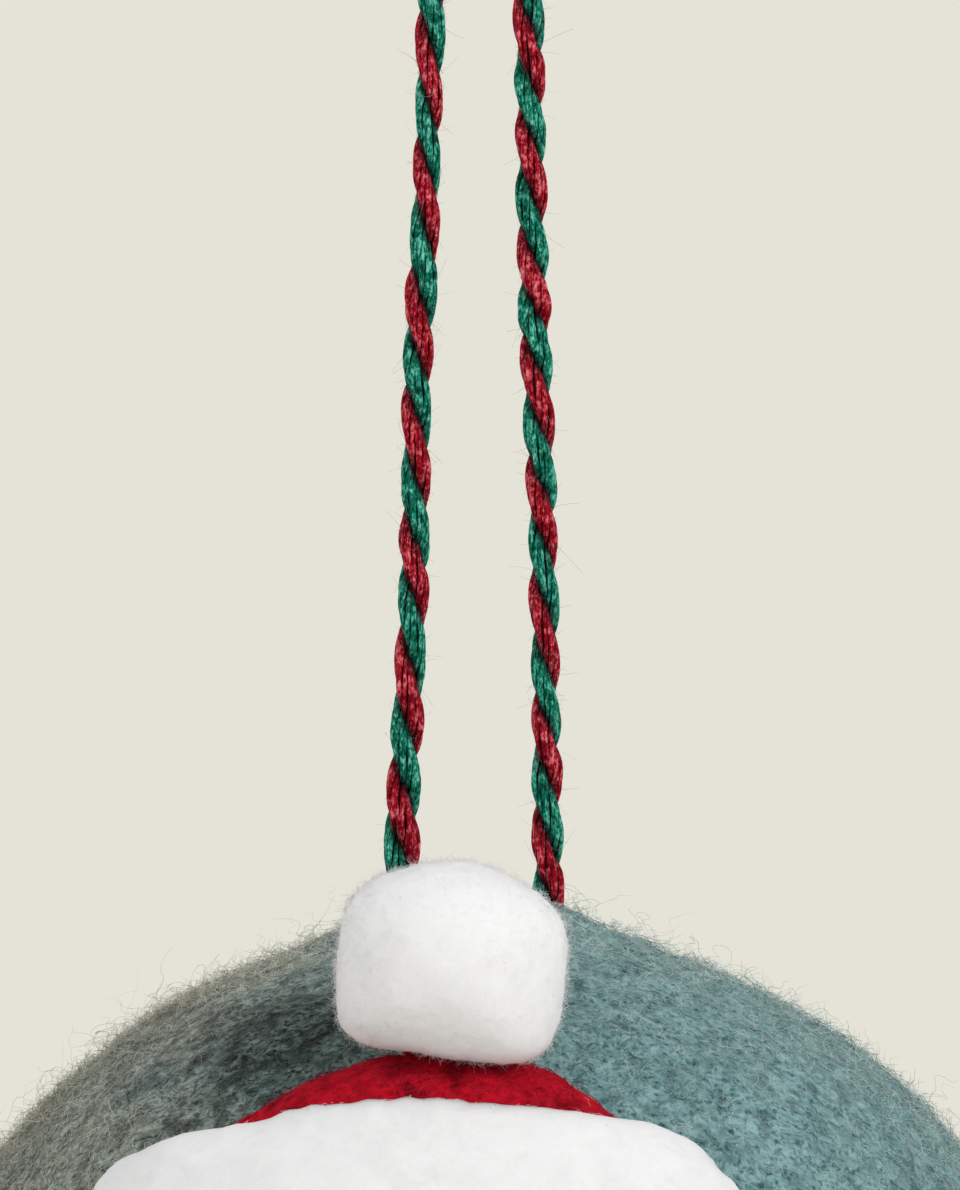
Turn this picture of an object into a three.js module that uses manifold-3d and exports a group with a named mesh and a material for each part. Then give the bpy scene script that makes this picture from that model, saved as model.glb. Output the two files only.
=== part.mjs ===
// A felt ball Christmas ornament: a wool ball on a twisted cord loop, with a hat, pompom, nose and beard.
// Units are millimetres and +Z is up. The figure on the ball faces -Y.
// The origin is the inside of the top of the cord loop, where a hook carries the ornament.

import * as THREE from 'three';
import { mergeVertices } from 'three/addons/utils/BufferGeometryUtils.js';
import Module from 'manifold-3d';

const wasm = await Module();
wasm.setup();

// Driving dimensions of the ball and its fillings
const BALL_RADIUS = 40;
const FELT_THICKNESS = 5.5;
const BALL_CENTRE_Z = -108.2;
const BALL_SETBACK = 1.2; // the ball hangs this far behind the cord, because its relief is heavy in front
const GAP = 0.3; // left between pieces that touch
const CORE_SLACK = 0.6; // from the felt's inside to the foam core, facets included

// The cord, and how high it pulls the felt up where it comes out
const CORD_DIAMETER = 1.9;
const CORD_SIDES = 8;
const PULL_UP = 1.0;
const PULL_WIDTH = 4.2;
const CORD_HOLE_RADIUS = 1.35;
const NOD_HEIGHT = 1.25; // of the cord's pivot above the felt, so that its round end turns clear

// The loop's route from its top down its right leg, as [x, z]; the left leg is its mirror image
const LOOP_ROUTE = [
  [0, 0.95],
  [1.63, 0.59],
  [2.95, -0.43],
  [3.72, -1.9],
  [3.84, -3.24],
  [3.62, -4.22],
  [3.26, -5.57],
  [3.14, -7.0],
  [3.15, -8.3],
];
const LEG_TOP = new THREE.Vector2(3.16, -8.6);
const LEG_FOOT_X = 5.1;

// The pompom's centre from the ball's centre, its half sizes and how square its sides are
const POMPOM_CENTRE = new THREE.Vector3(2.7, -29.2, 37.5);
const POMPOM_HALF = new THREE.Vector3(7.4, 6.9, 6.6);
const POMPOM_SQUARENESS = 2.35;
const POMPOM_GAP = 0.7; // from the felt, so that the pompom tilts on its stitch
const POMPOM_CROWN_GAP = 1.2; // from the hat's crown, which the pompom leans down onto
const STITCH_RADIUS = 0.5;
const STITCH_HOLE_RADIUS = 1.2;
const STITCH_REACH = 2.4; // above and below the pompom's pivot

// The nose's centre from the ball's centre, and its half sizes
const NOSE_ELEVATION = 20.5;
const NOSE_DISTANCE = 45.2;
const NOSE_HALF = new THREE.Vector3(5.3, 4.9, 4.6);

// Relief outlines on the ball, as [azimuth, elevation] in degrees. Azimuth 0 is the front, + to the right.
// Each first list is the right half from the top down, and the left half mirrors it.
const BRIM = {
  centre: [0, 34.6],
  half: [[0, 42.8], [10, 42.2], [20, 40.5], [29, 38.2], [34.5, 35.2], [36.8, 31], [36, 26.5],
    [31, 23.8], [20, 25], [10, 26.8], [0, 27.6]],
  height: 3.4,
  edge: 1.5,
  around: 44,
};
const BEARD = {
  centre: [0, 2],
  half: [[0, 30], [14, 29.5], [24, 27], [30.5, 21.5], [33.5, 13], [33.5, 3], [30.5, -7], [25, -17],
    [18, -26], [9, -33.5], [0, -37]],
  height: 4,
  edge: 1.6,
  around: 52,
};
const CROWN = {
  centre: [3, 40.5],
  whole: [[-18, 40], [-15, 44], [-10, 46.8], [-4, 49], [4, 50.4], [12, 49.2], [18, 46.5], [22, 43],
    [23.5, 39.5], [16, 34.5], [3, 33], [-10, 34.5]],
  height: 2.3,
  edge: 0.9,
  around: 36,
};
const RELIEF_RINGS = [0, 0.3, 0.55, 0.75, 0.9, 1]; // from the middle of a relief piece to its edge

// Colours and finishes
const finish = (color, roughness) => new THREE.MeshStandardMaterial({ color, roughness, metalness: 0 });
const GREEN_WOOL = finish(0x6b8583, 0.95);
const WHITE_WOOL = finish(0xf0f0ef, 0.95);
const RED_WOOL = finish(0xb30f22, 0.9);
const NOSE_WOOL = finish(0xd9a68c, 0.9);
const POMPOM_YARN = finish(0xf4f4f5, 0.95);
const TWISTED_CORD = finish(0x7a3a38, 0.8);
const THREAD = finish(0xe8e6e0, 0.7);
const FOAM = finish(0xf7f7f5, 0.6);

const BALL_CENTRE = new THREE.Vector3(0, BALL_SETBACK, BALL_CENTRE_Z);

// A merged copy of a geometry as a solid for boolean work
function solid(geometry) {
  const plain = geometry.clone();
  plain.deleteAttribute('normal');
  plain.deleteAttribute('uv');
  const merged = mergeVertices(plain, 1e-4);
  return new wasm.Manifold(new wasm.Mesh({
    numProp: 3,
    vertProperties: new Float32Array(merged.attributes.position.array),
    triVerts: new Uint32Array(merged.index.array),
  }));
}

// A solid's surface as a geometry
function surface(shape) {
  const mesh = shape.getMesh();
  const geometry = new THREE.BufferGeometry();
  geometry.setAttribute('position', new THREE.BufferAttribute(new Float32Array(mesh.vertProperties), 3));
  geometry.setIndex(new THREE.BufferAttribute(new Uint32Array(mesh.triVerts), 1));
  return geometry;
}

// The unit vector from the ball's centre at an azimuth and elevation in degrees
function direction(azimuth, elevation) {
  const a = THREE.MathUtils.degToRad(azimuth);
  const e = THREE.MathUtils.degToRad(elevation);
  return new THREE.Vector3(Math.sin(a) * Math.cos(e), -Math.cos(a) * Math.cos(e), Math.sin(e));
}

// The cord leaves the ball straight above its cross axis, in the plane Y = 0
function exitPoint(side) {
  const y = -BALL_SETBACK;
  const z = Math.sqrt(BALL_RADIUS ** 2 - LEG_FOOT_X ** 2 - y ** 2);
  return new THREE.Vector3(side * LEG_FOOT_X, y, z + PULL_UP);
}
const NOD_Z = BALL_CENTRE_Z + exitPoint(1).z + NOD_HEIGHT;

// How far the felt reaches along a unit vector, pulled up round the two cord exits
function feltRadius(unit) {
  let lift = 0;
  for (const side of [-1, 1]) {
    const away = unit.clone().multiplyScalar(BALL_RADIUS).distanceTo(exitPoint(side));
    lift += PULL_UP * Math.exp(-0.5 * (away / PULL_WIDTH) ** 2);
  }
  return BALL_RADIUS + Math.min(lift, PULL_UP);
}

function ballOutside() {
  const geometry = new THREE.IcosahedronGeometry(1, 11);
  const position = geometry.attributes.position;
  const unit = new THREE.Vector3();
  for (let i = 0; i < position.count; i += 1) {
    unit.fromBufferAttribute(position, i).normalize();
    unit.multiplyScalar(feltRadius(unit));
    position.setXYZ(i, unit.x, unit.y, unit.z);
  }
  return geometry;
}

function cylinder(radius, from, to, sides) {
  const along = to.clone().sub(from);
  const geometry = new THREE.CylinderGeometry(radius, radius, along.length(), sides);
  const turn = new THREE.Quaternion().setFromUnitVectors(new THREE.Vector3(0, 1, 0), along.normalize());
  geometry.applyQuaternion(turn);
  geometry.translate((from.x + to.x) / 2, (from.y + to.y) / 2, (from.z + to.z) / 2);
  return geometry;
}

function tube(points, steps) {
  const section = new THREE.Shape();
  for (let i = 0; i < CORD_SIDES; i += 1) {
    const angle = (2 * Math.PI * i) / CORD_SIDES;
    const x = CORD_DIAMETER / 2 * Math.cos(angle);
    const y = CORD_DIAMETER / 2 * Math.sin(angle);
    if (i === 0) section.moveTo(x, y);
    else section.lineTo(x, y);
  }
  section.closePath();
  const extrudePath = new THREE.CatmullRomCurve3(points, false, 'centripetal');
  return new THREE.ExtrudeGeometry(section, { steps, extrudePath, curveSegments: 1 });
}

// An ellipsoid whose sides are squarer than a ball's when power is above 2
function roundedBlock(half, power, detail) {
  const geometry = new THREE.IcosahedronGeometry(1, detail);
  const position = geometry.attributes.position;
  const p = new THREE.Vector3();
  for (let i = 0; i < position.count; i += 1) {
    p.fromBufferAttribute(position, i).normalize();
    const reach = (Math.abs(p.x) ** power + Math.abs(p.y) ** power + Math.abs(p.z) ** power) ** (-1 / power);
    p.multiplyScalar(reach).multiply(half);
    position.setXYZ(i, p.x, p.y, p.z);
  }
  return geometry;
}

// The closed outline of a relief piece, as points from its centre
function outlineOf(piece) {
  const points = piece.whole ?? [
    ...piece.half,
    ...piece.half.slice(1, -1).reverse().map(([azimuth, elevation]) => [-azimuth, elevation]),
  ];
  const curve = new THREE.CatmullRomCurve3(
    points.map(([azimuth, elevation]) => new THREE.Vector3(azimuth, elevation, 0)), true, 'centripetal');
  return curve.getSpacedPoints(piece.around).slice(0, piece.around);
}

// A relief piece lies on the ball: its back is the ball's shape and its front swells from edge to height.
// Extra makes it that much larger all round, as the room that a neighbour leaves it.
function relief(piece, extra = 0) {
  const outline = outlineOf(piece);
  if (THREE.ShapeUtils.isClockWise(outline)) outline.reverse();
  const middle = new THREE.Vector2(...piece.centre);
  const extraDegrees = THREE.MathUtils.radToDeg(extra / BALL_RADIUS) / Math.cos(Math.PI / 4);
  const vertices = [];
  const place = (share, k, radius) => {
    const away = new THREE.Vector2(outline[k].x, outline[k].y).sub(middle);
    away.multiplyScalar(share * (1 + extraDegrees / away.length())).add(middle);
    vertices.push(...direction(away.x, away.y).multiplyScalar(radius).toArray());
  };
  const swell = (share) => piece.edge + (piece.height - piece.edge) * Math.sqrt(1 - share ** 2.4);
  for (const side of ['front', 'back']) {
    for (const share of RELIEF_RINGS) {
      const radius = BALL_RADIUS + GAP + (side === 'front' ? swell(share) + extra : -extra);
      const count = share === 0 ? 1 : piece.around;
      for (let k = 0; k < count; k += 1) place(share, k, radius);
    }
  }
  const perSide = 1 + (RELIEF_RINGS.length - 1) * piece.around;
  const vertex = (side, ring, k) => {
    const first = side === 'front' ? 0 : perSide;
    return ring === 0 ? first : first + 1 + (ring - 1) * piece.around + (k % piece.around);
  };
  const triangles = [];
  const quad = (a, b, c, d) => triangles.push(a, b, c, a, c, d);
  const rim = RELIEF_RINGS.length - 1;
  for (let k = 0; k < piece.around; k += 1) {
    triangles.push(vertex('front', 0, 0), vertex('front', 1, k), vertex('front', 1, k + 1));
    triangles.push(vertex('back', 0, 0), vertex('back', 1, k + 1), vertex('back', 1, k));
    for (let ring = 1; ring < rim; ring += 1) {
      quad(vertex('front', ring, k), vertex('front', ring + 1, k),
        vertex('front', ring + 1, k + 1), vertex('front', ring, k + 1));
      quad(vertex('back', ring, k), vertex('back', ring, k + 1),
        vertex('back', ring + 1, k + 1), vertex('back', ring + 1, k));
    }
    quad(vertex('front', rim, k), vertex('back', rim, k),
      vertex('back', rim, k + 1), vertex('front', rim, k + 1));
  }
  const geometry = new THREE.BufferGeometry();
  geometry.setAttribute('position', new THREE.Float32BufferAttribute(vertices, 3));
  geometry.setIndex(triangles);
  return geometry;
}

const ornament = new THREE.Group();
const ball = new THREE.Group();
ball.position.copy(BALL_CENTRE);
ornament.add(ball);

function add(group, name, geometry, material) {
  const mesh = new THREE.Mesh(geometry, material);
  mesh.name = name;
  group.add(mesh);
  return mesh;
}

// The pompom's stitch runs through its pivot, a point on the felt under the pompom
const pompomOut = POMPOM_CENTRE.clone().normalize();
const stitchFoot = pompomOut.clone().multiplyScalar(BALL_RADIUS + GAP - STITCH_REACH);
const stitchHead = pompomOut.clone().multiplyScalar(BALL_RADIUS + GAP + STITCH_REACH);

function cordHole(side) {
  const exit = exitPoint(side);
  const top = exit.clone().setZ(exit.z + 3);
  const bottom = exit.clone().setZ(exit.z - FELT_THICKNESS - 4);
  return cylinder(CORD_HOLE_RADIUS, bottom, top, 12);
}

function feltShell() {
  const inside = new THREE.IcosahedronGeometry(BALL_RADIUS - FELT_THICKNESS, 6);
  const stitchHole = cylinder(STITCH_HOLE_RADIUS,
    pompomOut.clone().multiplyScalar(BALL_RADIUS + GAP - STITCH_REACH - 0.8),
    pompomOut.clone().multiplyScalar(BALL_RADIUS + 3), 12);
  let shell = solid(ballOutside()).subtract(solid(inside)).subtract(solid(stitchHole));
  for (const side of [-1, 1]) shell = shell.subtract(solid(cordHole(side)));
  return surface(shell);
}

// The knot lies in a pocket in the top of the foam core, between the two cord holes
const POCKET_DEPTH = 7;
const CORE_RADIUS = BALL_RADIUS - FELT_THICKNESS - CORE_SLACK;
const KNOT_HEIGHT = CORE_RADIUS - 4;
const KNOT_HALF = new THREE.Vector3(2.6, 2.3, 2.3);

function foamCore() {
  const core = solid(new THREE.IcosahedronGeometry(CORE_RADIUS, 6));
  const pocket = new THREE.BoxGeometry(2 * (LEG_FOOT_X + 2), 6, 2 * POCKET_DEPTH);
  pocket.translate(0, -BALL_SETBACK, CORE_RADIUS);
  return surface(core.subtract(solid(pocket)));
}

// Each cord end goes through the felt and bends over to the knot
function cordEnd(side) {
  const exit = exitPoint(side);
  const top = exit.z + NOD_HEIGHT - CORD_DIAMETER / 2 - GAP;
  const x = side * LEG_FOOT_X;
  const y = exit.y;
  const knotFace = side * (KNOT_HALF.x + GAP);
  return tube([
    new THREE.Vector3(x, y, top),
    new THREE.Vector3(x, y, top - 4),
    new THREE.Vector3(x, y, KNOT_HEIGHT + 3.2),
    new THREE.Vector3(x - side * 0.55, y, KNOT_HEIGHT + 1),
    new THREE.Vector3(knotFace + side * 0.55, y, KNOT_HEIGHT + 0.1),
    new THREE.Vector3(knotFace, y, KNOT_HEIGHT),
  ], 9);
}

function cordKnot() {
  const knot = roundedBlock(KNOT_HALF, 2.6, 3);
  knot.translate(0, -BALL_SETBACK, KNOT_HEIGHT);
  return knot;
}

// The loop's arch over the hook, and its two straight legs with a round end at the ball
function cordArch() {
  const right = LOOP_ROUTE.map(([x, z]) => new THREE.Vector3(x, 0, z));
  const left = LOOP_ROUTE.slice(1).reverse().map(([x, z]) => new THREE.Vector3(-x, 0, z));
  return tube([...left, ...right], 40);
}

function cordLeg(side) {
  const top = new THREE.Vector3(side * LEG_TOP.x, 0, LEG_TOP.y);
  const foot = new THREE.Vector3(side * LEG_FOOT_X, 0, NOD_Z);
  const middle = top.clone().lerp(foot, 0.5);
  const round = new THREE.IcosahedronGeometry(CORD_DIAMETER / 2, 1);
  round.translate(foot.x, foot.y, foot.z);
  return surface(solid(tube([top, middle, foot], 12)).add(solid(round)));
}

function pompom() {
  const yarn = roundedBlock(POMPOM_HALF, POMPOM_SQUARENESS, 6);
  yarn.translate(POMPOM_CENTRE.x, POMPOM_CENTRE.y, POMPOM_CENTRE.z);
  const seat = solid(new THREE.IcosahedronGeometry(BALL_RADIUS + POMPOM_GAP, 12));
  const crown = solid(relief(CROWN, POMPOM_CROWN_GAP));
  const bore = cylinder(STITCH_RADIUS + GAP,
    pompomOut.clone().multiplyScalar(BALL_RADIUS - 2),
    pompomOut.clone().multiplyScalar(BALL_RADIUS + GAP + STITCH_REACH + GAP), 8);
  return surface(solid(yarn).subtract(seat).subtract(crown).subtract(solid(bore)));
}

function nose() {
  const wool = roundedBlock(NOSE_HALF, 2, 4);
  const at = direction(0, NOSE_ELEVATION).multiplyScalar(NOSE_DISTANCE);
  wool.translate(at.x, at.y, at.z);
  return surface(solid(wool).subtract(solid(relief(BRIM, GAP))).subtract(solid(relief(BEARD, GAP))));
}

// The beard is tucked up against the brim
function beard() {
  return surface(solid(relief(BEARD)).subtract(solid(relief(BRIM, GAP))));
}

// The crown stops at the brim, and leaves room round the pompom's stitch
function crown() {
  const room = cylinder(STITCH_HOLE_RADIUS,
    pompomOut.clone().multiplyScalar(BALL_RADIUS - 2),
    pompomOut.clone().multiplyScalar(BALL_RADIUS + 8), 12);
  return surface(solid(relief(CROWN)).subtract(solid(relief(BRIM, GAP))).subtract(solid(room)));
}

add(ornament, 'cord_arch', cordArch(), TWISTED_CORD);
add(ornament, 'cord_leg_left', cordLeg(-1), TWISTED_CORD);
add(ornament, 'cord_leg_right', cordLeg(1), TWISTED_CORD);
add(ball, 'felt_shell', feltShell(), GREEN_WOOL);
add(ball, 'foam_core', foamCore(), FOAM);
add(ball, 'cord_end_left', cordEnd(-1), TWISTED_CORD);
add(ball, 'cord_end_right', cordEnd(1), TWISTED_CORD);
add(ball, 'cord_knot', cordKnot(), TWISTED_CORD);
add(ball, 'hat_crown', crown(), RED_WOOL);
add(ball, 'hat_brim', relief(BRIM), WHITE_WOOL);
add(ball, 'beard', beard(), WHITE_WOOL);
add(ball, 'nose', nose(), NOSE_WOOL);
add(ball, 'pompom', pompom(), POMPOM_YARN);
add(ball, 'pompom_stitch', cylinder(STITCH_RADIUS, stitchFoot, stitchHead, 8), THREAD);

export default ornament;
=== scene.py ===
import itertools
import math

import bpy
import numpy as np
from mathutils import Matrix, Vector
from mathutils.bvhtree import BVHTree


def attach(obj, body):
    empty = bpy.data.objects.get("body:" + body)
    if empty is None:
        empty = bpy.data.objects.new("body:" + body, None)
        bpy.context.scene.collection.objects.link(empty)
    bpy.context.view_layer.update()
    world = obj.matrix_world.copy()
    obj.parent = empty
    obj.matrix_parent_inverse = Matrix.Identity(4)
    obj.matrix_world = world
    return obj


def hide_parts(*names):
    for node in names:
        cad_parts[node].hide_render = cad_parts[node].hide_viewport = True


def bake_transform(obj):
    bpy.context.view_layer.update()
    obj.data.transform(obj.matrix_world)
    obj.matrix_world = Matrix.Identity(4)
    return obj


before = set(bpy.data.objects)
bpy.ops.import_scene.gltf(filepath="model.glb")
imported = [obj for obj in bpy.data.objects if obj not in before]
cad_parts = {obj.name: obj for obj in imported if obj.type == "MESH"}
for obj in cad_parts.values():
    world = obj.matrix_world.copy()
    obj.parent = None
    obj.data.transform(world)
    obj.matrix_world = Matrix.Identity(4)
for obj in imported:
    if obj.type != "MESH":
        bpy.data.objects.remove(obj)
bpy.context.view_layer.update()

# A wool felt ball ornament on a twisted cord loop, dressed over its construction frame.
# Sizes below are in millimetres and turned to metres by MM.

MM = 0.001
# Nothing of the frame stays selected, so that the operators below touch new pieces only
bpy.ops.object.select_all(action="DESELECT")

# The ball and the cord, as in the part's source
BALL_RADIUS = 40
BALL_SETBACK = 1.2
BALL_CENTRE_Z = -108.2
BALL_CENTRE = np.array([0, BALL_SETBACK, BALL_CENTRE_Z])
LOOP_ROUTE = [
    (0, 0.95), (1.63, 0.59), (2.95, -0.43), (3.72, -1.9), (3.84, -3.24),
    (3.62, -4.22), (3.26, -5.57), (3.14, -7.0), (3.15, -8.3),
]
LEG_FOOT_X = 5.1
RIGHT_FOOT_X = 4.45
# The legs hang straight but for the slight waves of a real cord: distances from the middle and heights
LEFT_LEG = [(3.3, -14), (3.62, -24.3), (4.06, -32), (4.2, -39.8), (4.38, -47.5), (4.75, -55.2), (5.12, -62)]
RIGHT_LEG = [(3.28, -15), (3.4, -24.3), (3.66, -32), (4.0, -39.8), (4.2, -47.5), (4.32, -55.2), (4.4, -62)]
# How far the cord pulls the felt up where it comes out, and how far above that the ball nods
PULL_UP = 1.0
NOD_HEIGHT = 1.25
EXIT_Z = math.sqrt(BALL_RADIUS**2 - LEG_FOOT_X**2 - BALL_SETBACK**2) + PULL_UP
NOD_Z = BALL_CENTRE_Z + EXIT_Z + NOD_HEIGHT

# The photograph's view: the camera stands a little to the figure's left hand, level, a long way off
FRAME_PIXELS = (960, 1190)
FRAME_TOP_Z = -8.8
MM_PER_PIXEL = 0.0645
CAMERA_AZIMUTH = 9
CAMERA_DISTANCE = 2400
SENSOR = 36

# The backdrop's and the floor's warm pale paper
PAPER = "E5E3D7"
random = np.random.default_rng(7)


def colour(code):
    """A linear colour from an sRGB hex code."""
    parts = [int(code[i:i + 2], 16) / 255 for i in (0, 2, 4)]
    return [c / 12.92 if c <= 0.04045 else ((c + 0.055) / 1.055) ** 2.4 for c in parts] + [1]


def add(tree, kind, inputs=None, **settings):
    """Adds one shader node with its settings, and values or links on its inputs."""
    made = tree.nodes.new("ShaderNode" + kind)
    for name, value in settings.items():
        setattr(made, name, value)
    for name, value in (inputs or {}).items():
        if isinstance(value, bpy.types.NodeSocket):
            tree.links.new(value, made.inputs[name])
        else:
            made.inputs[name].default_value = value
    return made


def blank_material(name):
    made = bpy.data.materials.new(name)
    made.use_nodes = True
    made.node_tree.nodes.clear()
    return made, made.node_tree


# Camera
def make_camera():
    data = bpy.data.cameras.new("camera")
    camera = bpy.data.objects.new("camera", data)
    bpy.context.scene.collection.objects.link(camera)
    a = math.radians(CAMERA_AZIMUTH)
    middle_z = FRAME_TOP_Z - FRAME_PIXELS[1] * MM_PER_PIXEL / 2
    camera.location = np.array(
        [math.sin(a) * CAMERA_DISTANCE, -math.cos(a) * CAMERA_DISTANCE, middle_z]) * MM
    camera.rotation_euler = (math.pi / 2, 0, a)
    data.sensor_width = SENSOR
    data.lens = SENSOR * CAMERA_DISTANCE / (FRAME_PIXELS[1] * MM_PER_PIXEL)
    data.clip_start = 0.05
    data.clip_end = 20
    bpy.context.scene.camera = camera


make_camera()


# Mesh helpers
def new_piece(name, points, corners, sizes, material):
    """A mesh from points in millimetres, the corner indices of its faces and each face's size."""
    mesh = bpy.data.meshes.new(name)
    mesh.vertices.add(len(points))
    mesh.vertices.foreach_set("co", (np.asarray(points) * MM).astype(np.float32).ravel())
    mesh.loops.add(len(corners))
    mesh.loops.foreach_set("vertex_index", np.asarray(corners, np.int32).ravel())
    mesh.polygons.add(len(sizes))
    starts = np.concatenate(([0], np.cumsum(sizes)[:-1])).astype(np.int32)
    mesh.polygons.foreach_set("loop_start", starts)
    mesh.update(calc_edges=True)
    mesh.shade_smooth()
    mesh.materials.append(material)
    piece = bpy.data.objects.new(name, mesh)
    bpy.context.scene.collection.objects.link(piece)
    return piece


def unit(vectors):
    return vectors / np.maximum(np.linalg.norm(vectors, axis=-1, keepdims=True), 1e-9)


def tubes(name, paths, radii, sides, material, tints, references):
    """Closed round tubes along paths of shape (tubes, points, 3), with radii (tubes, points)."""
    count, points, _ = paths.shape
    tangent = unit(np.gradient(paths, axis=1))
    side = unit(np.cross(tangent, references[:, None, :]))
    up = np.cross(tangent, side)
    angles = np.arange(sides) * 2 * math.pi / sides
    ring = (side[:, :, None, :] * np.cos(angles)[:, None]
            + up[:, :, None, :] * np.sin(angles)[:, None])
    vertices = paths[:, :, None, :] + ring * radii[:, :, None, None]
    index = np.arange(count * points * sides).reshape(count, points, sides)
    here, after = index, np.roll(index, -1, axis=2)
    quads = np.stack([here[:, :-1], after[:, :-1], after[:, 1:], here[:, 1:]], axis=-1)
    starts = index[:, 0, ::-1]
    ends = index[:, -1]
    corners = np.concatenate([quads.reshape(-1), starts.reshape(-1), ends.reshape(-1)])
    sizes = np.concatenate([np.full(quads.size // 4, 4), np.full(2 * count, sides)])
    piece = new_piece(name, vertices.reshape(-1, 3), corners, sizes, material)
    tint = piece.data.attributes.new("tint", "FLOAT", "POINT")
    tints = np.broadcast_to(tints[:, None] if tints.ndim == 1 else tints, (count, points))
    tint.data.foreach_set("value", np.repeat(tints.ravel(), sides).astype(np.float32))
    return piece


# Large odd numbers that mix a lattice point's place into an even spread of values
MIX_X, MIX_Y, MIX_Z, MIX_AGAIN = 374761393, 668265263, 1442695041, 1274126177
SEED_SHIFT = 17.31


def lumps(points, size, seed):
    """Smooth noise from -1 to 1 at points, in lumps about size across."""
    scaled = points / size + seed * SEED_SHIFT
    cell = np.floor(scaled).astype(np.int64)
    inside = scaled - cell
    inside = inside * inside * (3 - 2 * inside)
    total = np.zeros(len(points))
    for corner in itertools.product((0, 1), repeat=3):
        x, y, z = (cell + corner).T
        mixed = (x * MIX_X + y * MIX_Y + z * MIX_Z) & 0xFFFFFFFF
        mixed = ((mixed ^ (mixed >> 13)) * MIX_AGAIN) & 0xFFFFFFFF
        value = ((mixed ^ (mixed >> 16)) & 0xFFFF) / 32767.5 - 1
        total += value * np.prod(np.where(corner, inside, 1 - inside), axis=1)
    return total


def lumpy(points, layers):
    """Lumps of several sizes added up, from layers of (depth, size, seed)."""
    return sum(depth * lumps(points, size, seed) for depth, size, seed in layers)


def take_new(name):
    """Names the mesh that an operator has just made, shades it smooth and lets go of it."""
    piece = bpy.context.object
    piece.name = piece.data.name = name
    bpy.ops.object.shade_smooth()
    bpy.ops.object.select_all(action="DESELECT")
    return piece


def sort_faces(piece):
    """Gives a piece's faces a fixed order, as the round ball primitive changes it from run to run."""
    mesh = piece.data
    points = [tuple(point.co) for point in mesh.vertices]
    rings = [list(face.vertices) for face in mesh.polygons]
    starts = [ring.index(min(ring)) for ring in rings]
    faces = sorted(ring[k:] + ring[:k] for ring, k in zip(rings, starts))
    mesh.clear_geometry()
    mesh.from_pydata(points, [], faces)
    mesh.shade_smooth()
    mesh.update()


def vertices_of(piece):
    """A piece's points in millimetres."""
    points = np.empty(len(piece.data.vertices) * 3, np.float32)
    piece.data.vertices.foreach_get("co", points)
    return points.reshape(-1, 3).astype(float) / MM


def set_vertices(piece, points):
    piece.data.vertices.foreach_set("co", (points * MM).astype(np.float32).ravel())
    piece.data.update()


# Wool. Its patterns' scales are 1000 over a size in millimetres, as Object coordinates are in metres
def curls(tree, place, size_mm, width, shift):
    """Thin curly lines, as single crimped fibres seen on a mat, from the level lines of a noise."""
    moved = add(tree, "Mapping", {"Vector": place, "Location": (shift, -0.7 * shift, 1.3 * shift)})
    noise = add(tree, "TexNoise", {
        "Vector": moved.outputs[0], "Scale": 1000 / size_mm, "Detail": 1.0, "Roughness": 0.45,
        "Distortion": 0.6})
    away = add(tree, "Math", {0: noise.outputs["Fac"], 1: 0.5}, operation="SUBTRACT")
    flat = add(tree, "Math", {0: away.outputs[0]}, operation="ABSOLUTE")
    line = add(tree, "MapRange", {
        "Value": flat.outputs[0], "From Max": width, "To Min": 1.0, "To Max": 0.0},
        interpolation_type="SMOOTHSTEP")
    return line.outputs[0]


def locks(tree, place, size_mm, turns, shift):
    """Curly locks of parallel fibres, from many level lines of one noise, turns of them over its range."""
    moved = add(tree, "Mapping", {"Vector": place, "Location": (-shift, 1.1 * shift, 0.6 * shift)})
    noise = add(tree, "TexNoise", {
        "Vector": moved.outputs[0], "Scale": 1000 / size_mm, "Detail": 1.0, "Roughness": 0.5,
        "Distortion": 0.7})
    angle = add(tree, "Math", {0: noise.outputs["Fac"], 1: 2 * math.pi * turns}, operation="MULTIPLY")
    wave = add(tree, "Math", {0: angle.outputs[0]}, operation="SINE")
    crest = add(tree, "MapRange", {"Value": wave.outputs[0], "From Min": -1.0, "From Max": 1.0})
    return crest.outputs[0]


# The greyer wool of the ball's left: how far its border wanders, where it starts and where it is full,
# in millimetres along X, its greatest share, and its patches' scale, for patches about 13 mm across
MARL_WANDER = -60
MARL_START = -20
MARL_FULL = -54
MARL_SHARE = 0.9
MARL_SCALE = 75.0


def marl(tree, place):
    """Where the ball's blue-green wool gives way to a greyer one, in wide soft patches."""
    split = add(tree, "SeparateXYZ", {0: place})
    patches = add(tree, "TexNoise", {
        "Vector": place, "Scale": MARL_SCALE, "Detail": 3.0, "Roughness": 0.6})
    wander = add(tree, "Math", {0: patches.outputs["Fac"], 1: MARL_WANDER * MM, 2: split.outputs[0]},
                 operation="MULTIPLY_ADD")
    share = add(tree, "MapRange", {
        "Value": wander.outputs[0], "From Min": MARL_START * MM, "From Max": MARL_FULL * MM,
        "To Max": MARL_SHARE}, interpolation_type="SMOOTHSTEP")
    return share.outputs[0]


# The pompom's shadow, painted into the felt beside it as darker wool: its middle, how far its edge wanders,
# where it is full and where it ends, in millimetres, its greatest share, and its patches' scale, for
# patches about 4 mm across; then the painted shadow's shades for the felt, and the shade and share for its
# fibres
POMPOM_SHADOW_PLACE = np.array([-7.5, -20.5, -76])
POMPOM_SHADOW_WANDER = 18
POMPOM_SHADOW_FULL = 9.5
POMPOM_SHADOW_END = 24.5
POMPOM_SHADOW_SHARE = 0.94
POMPOM_SHADOW_SCALE = 260.0
POMPOM_SHADOW_SHADES = ("000201", "2A3832", "82938A")
POMPOM_SHADOW_FIBRE_SHADE = "2A3630"
POMPOM_SHADOW_FIBRE_SHARE = 0.8


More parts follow.
